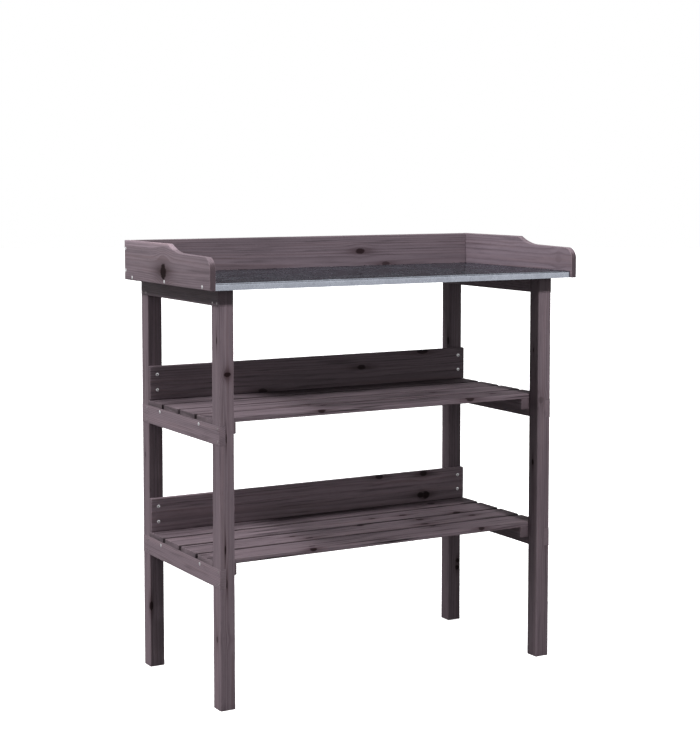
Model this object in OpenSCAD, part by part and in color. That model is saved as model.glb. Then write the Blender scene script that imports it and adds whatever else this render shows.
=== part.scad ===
// Slatted timber potting bench: a tray with a galvanised steel worktop and a rim
// on three sides, over two slatted shelves that each have a back board.
// X runs along the width, Y from the front to the back and Z up.
// The origin is on the floor, under the middle of the tray.

/* [Overall size] */
// Width over the side rims of the tray
bench_w = 820; // [800:5:900]
// Depth of the tray, from the front of the side rims to the back rim
bench_d = 400; // [390:5:430]
// Height from the floor to the top of the rim
bench_h = 865; // [830:5:920]

/* [Legs and side rails] */
// Width over the outer faces of the legs
frame_w = 750; // [700:5:765]
// Depth over the outer faces of the legs
frame_d = 361; // [345:1:370]
// How far the tray stands out behind the legs
tray_back_lap = 1; // [0:0.5:4]
// Side of the square legs
leg_w = 31; // [28:1:35]
// Radius along the upright edges of the legs
leg_edge_r = 3; // [1:0.5:5]
// Thickness of the rail ends that are let into the legs
lap_t = 13; // [10:0.5:16]
// Height of the two rails that carry the tray
top_rail_h = 31.5; // [28:0.5:40]
// Height of the rails that carry the shelves
shelf_rail_h = 37; // [32:1:45]

/* [Shelves] */
// Height of the top of the upper shelf
upper_shelf_z = 545; // [480:5:600]
// Height of the top of the lower shelf
lower_shelf_z = 278; // [200:1:340]
// Number of slats in a shelf
slat_count = 4; // [3:1:4]
// Width of a slat
slat_w = 67; // [60:1:70]
// Thickness of a slat
slat_t = 10; // [9:0.5:14]
// Thickness of the cleats under the slats
cleat_t = 18.5; // [16:0.5:24]
// Height of the cleats under the slats
cleat_h = 22; // [18:1:26]
// Height of the board at the back of each shelf
back_board_h = 68.5; // [60:0.5:80]
// Thickness of the board at the back of each shelf
back_board_t = 10.5; // [9:0.5:14]

/* [Tray] */
// Thickness of the rim boards
rim_t = 12.5; // [11:0.5:16]
// Height of the rim boards
rim_h = 78.5; // [70:0.5:90]
// Height of a side rim in front of its cove
rim_low_h = 62.5; // [55:0.5:65]
// How far the low part of a side rim falls on its way to the front
rim_fall = 2; // [0.5:0.5:4]
// Distance from the tray's front to the foot of the cove
cove_foot = 123; // [100:1:180]
// Radius of the cove
cove_r = 135; // [100:1:160]
// Radius of the front top corner of a side rim
rim_corner_r = 22; // [10:1:30]
// Width of the base boards under the worktop
base_board_w = 52; // [45:1:60]
// Thickness of the base boards under the worktop
base_board_t = 12; // [10:0.5:18]
// Distance of the middle base board's centre behind the tray's centre
base_board_offset = 3.5; // [-10:0.5:10]
// Thickness of the galvanised sheet
sheet_t = 0.7; // [0.5:0.1:1.2]
// How far the worktop's front edge stays behind the front of the side rims
worktop_setback = 5.5; // [2:0.5:10]

/* [Fasteners] */
// Diameter of the tray and board screws
screw_d = 3.5; // [3:0.5:4]
// Diameter of their countersunk heads
screw_head_d = 7; // [6:0.5:8]
// Diameter of the nails in the lap joints
nail_d = 2.2; // [1.8:0.2:2.6]
// Diameter of the nail heads
nail_head_d = 5; // [4:0.5:6]

/* [Hidden] */
$fn = 48;

// Colours
stain = [0.45, 0.41, 0.43];
dark_stain = [0.36, 0.32, 0.34];
galvanised = [0.62, 0.65, 0.69];
zinc = [0.8, 0.8, 0.82];

// Heights
tray_z = bench_h - rim_h;
worktop_z = tray_z + base_board_t + sheet_t;
base_screw_z = tray_z + base_board_t / 2;

// Depths
tray_front = -bench_d / 2;
tray_back = bench_d / 2;
leg_back_y = tray_back - tray_back_lap - leg_w;
leg_front_y = leg_back_y + leg_w - frame_d;
shelf_front = leg_front_y + leg_w;
shelf_d = frame_d - 2 * leg_w;
slat_step = (shelf_d - slat_w) / (slat_count - 1);
worktop_front = tray_front + worktop_setback;
worktop_back = tray_back - rim_t;
base_board_centres = [
    worktop_front + sheet_t + base_board_w / 2,
    base_board_offset,
    worktop_back - base_board_w / 2,
];

// Widths, to the left of the middle
frame_x = frame_w / 2;
lap_x = frame_x - lap_t;
rail_x = frame_x - leg_w;
tray_x = bench_w / 2 - rim_t;

// Edges
board_edge_r = 1.5;
slat_edge_r = 2.5;
sheet_bend_r = board_edge_r + sheet_t;
past = 1;

// Fastener places
screw_head_h = 2.2;
screw_tip_h = 5;
recess_w = 0.8;
recess_depth = 1.4;
nail_head_h = 0.9;
nail_l = 26;
rim_screw_l = 35;
rim_screw_d = screw_d;
rim_back_screws = [19, 61.7];
board_screw_l = 34;
board_screws = [20.4, 51.7];
shelf_screw_l = 45;
shelf_screw_y = [-72.4, 111.1];
slat_screw_l = 28;
base_screw_l = 38;
base_screw_y = [shelf_front - 21, base_board_offset, worktop_back - base_board_w / 2];
base_screw_x = (lap_x + rail_x) / 2;
nail_inset = 7;
nail_spread = 12;
top_nail_spread = 19;
top_nail_z = 5;

// Lowest height and height of each pair of side rails
rails = [
    [tray_z - top_rail_h, top_rail_h],
    [upper_shelf_z - slat_t - shelf_rail_h, shelf_rail_h],
    [lower_shelf_z - slat_t - shelf_rail_h, shelf_rail_h],
];
top = 0;
upper = 1;
lower = 2;

// Plain shapes

module rounded_rect(w, h, r) {
    translate([r, 0]) square([w - 2 * r, h]);
    translate([0, r]) square([w, h - 2 * r]);
    for (x = [r, w - r], y = [r, h - r]) translate([x, y]) circle(r);
}

// A board along X, centred on the middle, with its long edges rounded
module board_x(length, depth, height, r) {
    rotate([90, 0, 90])
        linear_extrude(length, center = true) rounded_rect(depth, height, r);
}

// A batten along Y, starting at the origin, with its long edges rounded
module batten_y(length, width, height, r) {
    translate([0, length, 0]) rotate([90, 0, 0])
        linear_extrude(length) rounded_rect(width, height, r);
}

// Every paired piece is drawn on the left and mirrored for the right
module on_side(side) {
    mirror([side == "right" ? 1 : 0, 0, 0]) children();
}

// Fasteners, each with its head at the origin and its shank down -Z

module wood_screw(length, recess) {
    difference() {
        union() {
            translate([0, 0, -screw_head_h])
                cylinder(h = screw_head_h, d1 = screw_d, d2 = screw_head_d);
            translate([0, 0, screw_tip_h - length])
                cylinder(h = length - screw_tip_h - screw_head_h, d = screw_d);
            translate([0, 0, -length])
                cylinder(h = screw_tip_h, d1 = screw_d / 5, d2 = screw_d);
        }
        if (recess)
            for (turn = [0, 90])
                rotate([0, 0, turn])
                    translate([-screw_head_d / 4, -recess_w / 2, -recess_depth])
                        cube([screw_head_d / 2, recess_w, recess_depth + past]);
    }
}

module nail() {
    translate([0, 0, -nail_head_h]) cylinder(h = nail_head_h, d = nail_head_d);
    translate([0, 0, -nail_l + nail_d])
        cylinder(h = nail_l - nail_d - nail_head_h, d = nail_d);
    translate([0, 0, -nail_l]) cylinder(h = nail_d, d1 = nail_d / 5, d2 = nail_d);
}

// Turns a fastener so that it is driven towards +X, towards +Y or upwards
module into_x() { rotate([0, -90, 0]) children(); }
module into_y() { rotate([90, 0, 0]) children(); }
module upwards() { rotate([180, 0, 0]) children(); }

// Sets of fasteners; the pieces that they join are cut with the same shapes

module left_rim_screws(recess = false) {
    for (z = rim_back_screws)
        translate([-bench_w / 2, tray_back - rim_t / 2, tray_z + z])
            into_x() wood_screw(rim_screw_l, recess);
    for (y = base_board_centres)
        translate([-bench_w / 2, y, base_screw_z])
            into_x() wood_screw(rim_screw_l, recess);
}

module both_rim_screws() {
    for (side = ["left", "right"]) on_side(side) left_rim_screws();
}

module base_screw_set(recess = false) {
    for (side = ["left", "right"], y = base_screw_y)
        on_side(side)
            translate([-base_screw_x, y, tray_z + base_board_t])
                wood_screw(base_screw_l, recess);
}

module board_screw_set(shelf_z, recess = false) {
    for (side = ["left", "right"], z = board_screws)
        on_side(side)
            translate([-frame_x + leg_w / 2, leg_back_y - back_board_t, shelf_z + z])
                into_y() wood_screw(board_screw_l, recess);
}

module left_shelf_screws(recess = false) {
    for (shelf_z = [upper_shelf_z, lower_shelf_z], y = shelf_screw_y)
        translate([-frame_x, y, shelf_z - slat_t - cleat_h / 3])
            into_x() wood_screw(shelf_screw_l, recess);
}

module slat_screw_set(shelf_z, recess = false) {
    for (side = ["left", "right"], i = [0 : slat_count - 1])
        on_side(side)
            translate([
                -rail_x + cleat_t / 2,
                shelf_front + slat_step * i + slat_w / 2,
                shelf_z - slat_t - cleat_h,
            ])
                upwards() wood_screw(slat_screw_l, recess);
}

module left_lap_nails() {
    for (front = [leg_front_y, leg_back_y]) {
        for (rail = [upper, lower], step = [-1, 1])
            translate([
                -frame_x,
                front + nail_inset,
                rails[rail][0] + (rails[rail][1] + step * 2 * nail_spread) / 2,
            ])
                into_x() nail();
        for (step = [0, 1])
            translate([
                -frame_x,
                front + nail_inset + step * top_nail_spread,
                rails[top][0] + top_nail_z,
            ])
                into_x() nail();
    }
}

// Frame

module leg(side, front) {
    color(stain) on_side(side) difference() {
        translate([-frame_x, front, 0])
            linear_extrude(tray_z) rounded_rect(leg_w, leg_w, leg_edge_r);
        for (rail = rails)
            translate([-frame_x - past, front - past, rail[0]])
                cube([
                    lap_t + past,
                    leg_w + 2 * past,
                    rail[1] + (rail == rails[top] ? past : 0),
                ]);
        left_lap_nails();
        base_screw_set();
        board_screw_set(upper_shelf_z);
        board_screw_set(lower_shelf_z);
    }
}

module rail_plan() {
    translate([-frame_x, leg_front_y]) {
        translate([leg_edge_r, 0]) square([lap_t - leg_edge_r, frame_d]);
        translate([0, leg_edge_r]) square([lap_t, frame_d - 2 * leg_edge_r]);
        for (y = [leg_edge_r, frame_d - leg_edge_r])
            translate([leg_edge_r, y]) circle(leg_edge_r);
        translate([0, leg_w]) square([leg_w, shelf_d]);
    }
}

module side_rail(side, rail) {
    color(stain) on_side(side) difference() {
        translate([0, 0, rails[rail][0]]) linear_extrude(rails[rail][1]) rail_plan();
        left_lap_nails();
        if (rail == top) base_screw_set();
        else left_shelf_screws();
    }
}

// Shelves

module cleat(side, shelf_z) {
    color(dark_stain) on_side(side) difference() {
        translate([-rail_x, shelf_front, shelf_z - slat_t - cleat_h])
            batten_y(shelf_d, cleat_t, cleat_h, board_edge_r);
        left_shelf_screws();
        slat_screw_set(shelf_z);
    }
}

module slat(shelf_z, number) {
    color(stain) difference() {
        translate([0, shelf_front + slat_step * (number - 1), shelf_z - slat_t])
            board_x(frame_w, slat_w, slat_t, slat_edge_r);
        slat_screw_set(shelf_z);
    }
}

module back_board(shelf_z) {
    color(stain) difference() {
        translate([0, leg_back_y - back_board_t, shelf_z])
            board_x(frame_w, back_board_t, back_board_h, board_edge_r);
        board_screw_set(shelf_z);
    }
}

// Tray

module base_board(number) {
    color(dark_stain) difference() {
        translate([0, base_board_centres[number] - base_board_w / 2, tray_z])
            board_x(2 * tray_x, base_board_w, base_board_t, board_edge_r);
        both_rim_screws();
        base_screw_set();
    }
}

// Outline of a side rim, with Y across the page and Z up it
module rim_outline() {
    low_z = rim_low_h - rim_fall;
    corner_y = tray_front + rim_corner_r;
    foot_y = tray_front + cove_foot;
    difference() {
        union() {
            translate([corner_y, 0]) square([tray_back - corner_y, rim_h]);
            translate([tray_front, 0]) square([rim_corner_r, low_z - rim_corner_r]);
            translate([corner_y, low_z - rim_corner_r]) circle(rim_corner_r);
        }
        translate([foot_y, rim_low_h + cove_r]) circle(cove_r, $fn = 180);
        polygon([
            [foot_y, rim_low_h],
            [foot_y, rim_h + past],
            [tray_front, rim_h + past],
            [corner_y, low_z],
        ]);
    }
}

module side_rim(side) {
    color(stain) on_side(side) difference() {
        translate([-bench_w / 2, 0, tray_z])
            rotate([90, 0, 90]) linear_extrude(rim_t) rim_outline();
        left_rim_screws();
    }
}

module rim_back() {
    color(stain) difference() {
        translate([0, worktop_back, tray_z]) board_x(2 * tray_x, rim_t, rim_h, board_edge_r);
        both_rim_screws();
    }
}

// Outline of the worktop sheet, with Y across the page and Z up it
module sheet_outline() {
    bend_y = worktop_front + sheet_bend_r;
    bend_z = worktop_z - sheet_bend_r;
    translate([bend_y, worktop_z - sheet_t]) square([worktop_back - bend_y, sheet_t]);
    translate([worktop_front, tray_z]) square([sheet_t, bend_z - tray_z]);
    translate([bend_y, bend_z]) intersection() {
        difference() {
            circle(sheet_bend_r);
            circle(sheet_bend_r - sheet_t);
        }
        translate([-sheet_bend_r, 0]) square(sheet_bend_r);
    }
}

module worktop_sheet() {
    color(galvanised)
        rotate([90, 0, 90]) linear_extrude(2 * tray_x, center = true) sheet_outline();
}

leg("left", leg_front_y);  // leg_front_left
leg("right", leg_front_y);  // leg_front_right
leg("left", leg_back_y);  // leg_back_left
leg("right", leg_back_y);  // leg_back_right
side_rail("left", top);  // top_rail_left
side_rail("right", top);  // top_rail_right
side_rail("left", upper);  // upper_rail_left
side_rail("right", upper);  // upper_rail_right
side_rail("left", lower);  // lower_rail_left
side_rail("right", lower);  // lower_rail_right
cleat("left", upper_shelf_z);  // upper_cleat_left
cleat("right", upper_shelf_z);  // upper_cleat_right
cleat("left", lower_shelf_z);  // lower_cleat_left
cleat("right", lower_shelf_z);  // lower_cleat_right
slat(upper_shelf_z, 1);  // upper_slat_1
slat(upper_shelf_z, 2);  // upper_slat_2
slat(upper_shelf_z, 3);  // upper_slat_3
slat(upper_shelf_z, 4);  // upper_slat_4
slat(lower_shelf_z, 1);  // lower_slat_1
slat(lower_shelf_z, 2);  // lower_slat_2
slat(lower_shelf_z, 3);  // lower_slat_3
slat(lower_shelf_z, 4);  // lower_slat_4
back_board(upper_shelf_z);  // upper_back_board
back_board(lower_shelf_z);  // lower_back_board
base_board(0);  // base_board_front
base_board(1);  // base_board_middle
base_board(2);  // base_board_back
side_rim("left");  // rim_left
side_rim("right");  // rim_right
rim_back();
worktop_sheet();
color(zinc) left_rim_screws(true);  // rim_screws_left
color(zinc) on_side("right") left_rim_screws(true);  // rim_screws_right
color(zinc) base_screw_set(true);  // base_screws
color(zinc) board_screw_set(upper_shelf_z, true);  // upper_back_board_screws
color(zinc) board_screw_set(lower_shelf_z, true);  // lower_back_board_screws
color(zinc) left_shelf_screws(true);  // shelf_screws_left
color(zinc) on_side("right") left_shelf_screws(true);  // shelf_screws_right
color(zinc) slat_screw_set(upper_shelf_z, true);  // upper_slat_screws
color(zinc) slat_screw_set(lower_shelf_z, true);  // lower_slat_screws
color(zinc) left_lap_nails();  // lap_nails_left
color(zinc) on_side("right") left_lap_nails();  // lap_nails_right
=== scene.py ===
"""Potting bench in grey-brown stained pine with a galvanised worktop.

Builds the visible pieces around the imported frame: swept and lapped timbers, shaped rim boards,
a folded sheet, and screws and nails, each with its own procedural finish, in a plain studio.
"""

from __future__ import annotations

import logging
import math
import random
from dataclasses import dataclass
from enum import Enum
from typing import Iterable, Optional, Sequence, Union

import bmesh
import bpy
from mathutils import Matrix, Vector, noise

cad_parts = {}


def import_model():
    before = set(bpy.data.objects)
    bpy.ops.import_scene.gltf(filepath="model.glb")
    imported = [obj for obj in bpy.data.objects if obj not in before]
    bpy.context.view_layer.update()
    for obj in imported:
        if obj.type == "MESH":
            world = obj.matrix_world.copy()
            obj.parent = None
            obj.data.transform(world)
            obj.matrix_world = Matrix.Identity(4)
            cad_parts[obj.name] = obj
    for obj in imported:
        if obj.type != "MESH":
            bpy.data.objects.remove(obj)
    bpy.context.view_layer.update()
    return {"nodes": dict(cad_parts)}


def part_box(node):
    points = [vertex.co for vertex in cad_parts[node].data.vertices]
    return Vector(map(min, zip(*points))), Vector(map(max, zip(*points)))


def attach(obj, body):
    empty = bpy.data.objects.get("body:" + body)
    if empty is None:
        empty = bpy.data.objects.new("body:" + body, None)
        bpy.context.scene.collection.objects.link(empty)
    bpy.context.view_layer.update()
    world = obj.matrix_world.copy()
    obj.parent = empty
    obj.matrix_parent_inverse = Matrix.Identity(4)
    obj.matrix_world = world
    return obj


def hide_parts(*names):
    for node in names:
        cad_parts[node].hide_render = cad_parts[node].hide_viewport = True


LOG = logging.getLogger("potting_bench")
MM = 0.001
BODY = "root"
WELD = 0.01 * MM
Point2 = tuple[float, float]
Point3 = tuple[float, float, float]
Colour = tuple[float, float, float]


class Axis(Enum):
    """An axis of the row frame, by its place in a vector."""

    X = 0
    Y = 1
    Z = 2


class Side(Enum):
    """The left or right half of the bench, by the sign of X."""

    LEFT = -1
    RIGHT = 1

    @property
    def word(self) -> str:
        """The side's name in node names."""
        return self.name.lower()


class Slot(Enum):
    """The material slots, which start the materials' names."""

    PINE = "stained_pine"
    SHEET = "galvanised_sheet"
    ZINC = "zinc_fasteners"


class Fastener(Enum):
    """What a fastener is."""

    SCREW = "screw"
    NAIL = "nail"


# ----------------------------------------------------------------------------- shader maths


class Signal:
    """A node's output socket that Python arithmetic can work on."""

    def __init__(self, graph: Graph, socket: bpy.types.NodeSocket) -> None:
        """Keeps the socket and the graph that it belongs to."""
        self.graph = graph
        self.socket = socket

    def __add__(self, other: Operand) -> Signal:
        """Sum."""
        return self.graph.math("ADD", self, other)

    __radd__ = __add__

    def __sub__(self, other: Operand) -> Signal:
        """Difference."""
        return self.graph.math("SUBTRACT", self, other)

    def __rsub__(self, other: Operand) -> Signal:
        """Difference with a number first."""
        return self.graph.math("SUBTRACT", other, self)

    def __mul__(self, other: Operand) -> Signal:
        """Product."""
        return self.graph.math("MULTIPLY", self, other)

    __rmul__ = __mul__

    def __pow__(self, other: Operand) -> Signal:
        """Power."""
        return self.graph.math("POWER", self, other)

    def __neg__(self) -> Signal:
        """The value with its sign changed."""
        return self * -1.0

    def fraction(self) -> Signal:
        """The part after the decimal point."""
        return self.graph.math("FRACT", self)

    def absolute(self) -> Signal:
        """The value without its sign."""
        return self.graph.math("ABSOLUTE", self)

    def bell(self) -> Signal:
        """e to the power of minus this value."""
        return self.graph.math("EXPONENT", -self)

    def root(self) -> Signal:
        """Square root."""
        return self.graph.math("SQRT", self)

    def at_most(self, other: Operand) -> Signal:
        """The smaller of the two."""
        return self.graph.math("MINIMUM", self, other)

    def at_least(self, other: Operand) -> Signal:
        """The larger of the two."""
        return self.graph.math("MAXIMUM", self, other)

    def fade(self, start: float, end: float) -> Signal:
        """Goes smoothly from 0 at start to 1 at end.

        Args:
            start: The value that gives 0.
            end: The value that gives 1; it may be below start.

        Returns:
            The faded value, kept within 0 to 1.
        """
        low, high, first, last = (start, end, 0.0, 1.0) if start < end else (end, start, 1.0, 0.0)
        made = self.graph.node(
            "ShaderNodeMapRange",
            {"interpolation_type": "SMOOTHSTEP", "clamp": True},
            {"Value": self, "From Min": low, "From Max": high, "To Min": first, "To Max": last},
        )
        return Signal(self.graph, made.outputs["Result"])


Operand = Union[Signal, float, int]


class Graph:
    """Makes the nodes of one material."""

    def __init__(self, material: bpy.types.Material) -> None:
        """Empties the material's node tree.

        Args:
            material: The material that takes the nodes.
        """
        material.use_nodes = True
        self.tree = material.node_tree
        self.tree.nodes.clear()
        self.coordinates: Optional[bpy.types.Node] = None

    def node(
        self,
        kind: str,
        settings: Optional[dict[str, object]] = None,
        inputs: Optional[dict[Union[str, int], object]] = None,
    ) -> bpy.types.Node:
        """Adds one node.

        Args:
            kind: The node's type.
            settings: What is set on it first.
            inputs: A value or a Signal for each named or numbered input.

        Returns:
            The node.
        """
        made = self.tree.nodes.new(kind)
        for name, value in (settings or {}).items():
            setattr(made, name, value)
        for key, value in (inputs or {}).items():
            if isinstance(value, Signal):
                self.tree.links.new(value.socket, made.inputs[key])
            else:
                made.inputs[key].default_value = value
        return made

    def math(self, operation: str, *values: Operand) -> Signal:
        """Adds a Math node for an operation on values."""
        made = self.node("ShaderNodeMath", {"operation": operation}, dict(enumerate(values)))
        return Signal(self, made.outputs[0])

    def vector(self, operation: str, *values: object) -> Signal:
        """Adds a Vector Math node for an operation on vectors."""
        made = self.node("ShaderNodeVectorMath", {"operation": operation}, dict(enumerate(values)))
        return Signal(self, made.outputs["Vector"])

    def place(self, output: str = "Object") -> Signal:
        """The point's place in the row frame in metres, or another of its coordinates.

        Args:
            output: The coordinates' name.

        Returns:
            The vector.
        """
        if self.coordinates is None:
            self.coordinates = self.node("ShaderNodeTexCoord")
        return Signal(self, self.coordinates.outputs[output])

    def facing(self, axis: Axis) -> Signal:
        """How squarely the surface faces along an axis, from 0 to 1."""
        return self.parts(self.place("Normal"))[axis.value].absolute()

    def parts(self, vector: Signal) -> list[Signal]:
        """Splits a vector into X, Y and Z."""
        made = self.node("ShaderNodeSeparateXYZ", None, {0: vector})
        return [Signal(self, output) for output in made.outputs]

    def noise(self, scales: Sequence[float], shift: float, detail: float, rough: float) -> Signal:
        """Soft noise with its own scale along each axis.

        Args:
            scales: Features per metre along X, Y and Z.
            shift: How far the pattern is moved, so that no two are the same.
            detail: How many finer layers it has.
            rough: How strong the finer layers are.

        Returns:
            A value about 0.5.
        """
        stretched = self.vector("MULTIPLY", self.place(), tuple(scales))
        moved = self.vector("ADD", stretched, (shift, shift * 1.7, shift * 0.6))
        made = self.node(
            "ShaderNodeTexNoise",
            {"noise_dimensions": "3D"},
            {"Vector": moved, "Scale": 1.0, "Detail": detail, "Roughness": rough},
        )
        return Signal(self, made.outputs[0])

    def even_noise(self, scale: float, shift: float, detail: float = 3.0, rough: float = 0.6) -> Signal:
        """Soft noise with the same scale along every axis."""
        return self.noise((scale, scale, scale), shift, detail, rough)

    def attribute(self, name: str) -> Signal:
        """A float stored on the mesh's points."""
        made = self.node("ShaderNodeAttribute", {"attribute_name": name, "attribute_type": "GEOMETRY"})
        return Signal(self, made.outputs["Fac"])

    def mix(self, amount: Operand, first: object, second: object) -> Signal:
        """Mixes two colours.

        Args:
            amount: How much of the second, from 0 to 1.
            first: A colour or a Signal.
            second: A colour or a Signal.

        Returns:
            The mixed colour.
        """
        one, two = [value if isinstance(value, Signal) else (*value, 1.0) for value in (first, second)]
        settings = {"data_type": "RGBA", "blend_type": "MIX", "clamp_factor": True}
        made = self.node("ShaderNodeMix", settings, {0: amount, 6: one, 7: two})
        return Signal(self, made.outputs[2])

    def tinted(self, colour: Signal, factor: Signal) -> Signal:
        """A colour whose channels are all multiplied by a factor."""
        made = self.node("ShaderNodeVectorMath", {"operation": "SCALE"}, {0: colour, "Scale": factor})
        return Signal(self, made.outputs[0])

    def bump(self, height: Signal, depth: float, strength: float) -> Signal:
        """The normal of a relief from 0 to 1, where depth is what 1 stands for in metres."""
        inputs = {"Strength": strength, "Distance": depth, "Height": height}
        return Signal(self, self.node("ShaderNodeBump", None, inputs).outputs[0])

    def surface(self, **sockets: object) -> None:
        """Ends the material in one Principled shader.

        Args:
            sockets: Values or Signals by socket name, with _ for a space.
        """
        named = {name.replace("_", " "): value for name, value in sockets.items()}
        shader = self.node("ShaderNodeBsdfPrincipled", None, named)
        self.node("ShaderNodeOutputMaterial", None, {0: Signal(self, shader.outputs[0])})


# ----------------------------------------------------------------------------- finishes


@dataclass(frozen=True)
class Knot:
    """A knot in a board.

    Places are shares of the board's box, and sizes are in metres. A knot with edge set is
    placed across the board's thickness and not across its width. A knot with a reach stops
    that far from its share of the way through the board.
    """

    along: float
    across: float
    length: float
    width: float
    depth: float
    edge: bool = False
    through: float = 0.5
    reach: Optional[float] = None


@dataclass(frozen=True)
class Stain:
    """How the stain took on one board, and the board's knots.

    Tone lightens or darkens all of it: on the right legs, the slats and the back rim a low tone is painted
    shade, and on the lower back board a high tone is painted light. end_stain darkens the sawn ends, and
    lines sets how strong the dark lines are. Wood past the share sapwood of the width is paler.
    """

    knots: tuple[Knot, ...] = ()
    tone: float = 1.0
    end_stain: float = 0.55
    sapwood: Optional[float] = None
    lines: float = 0.28


@dataclass(frozen=True)
class Figure:
    """Noise that runs with the grain: its features per metre along it and across it."""

    along: float
    across: float
    shift: float
    detail: float
    rough: float = 0.5


@dataclass(frozen=True)
class Grain:
    """How a board was cut from its log."""

    along: Axis
    wide: Axis
    thick: Axis
    low: Vector
    high: Vector
    pith_wide: float
    pith_thick: float
    ring: float
    seed: float
    stain: Stain

    def place(self, axis: Axis, share: float) -> float:
        """A share of the board's box along an axis, as a place in metres."""
        return self.low[axis.value] * (1.0 - share) + self.high[axis.value] * share

    def noise(self, graph: Graph, figure: Figure) -> Signal:
        """Noise that runs with this board's grain."""
        scales = [figure.along if axis is self.along else figure.across for axis in Axis]
        return graph.noise(scales, self.seed + figure.shift, figure.detail, figure.rough)


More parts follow.
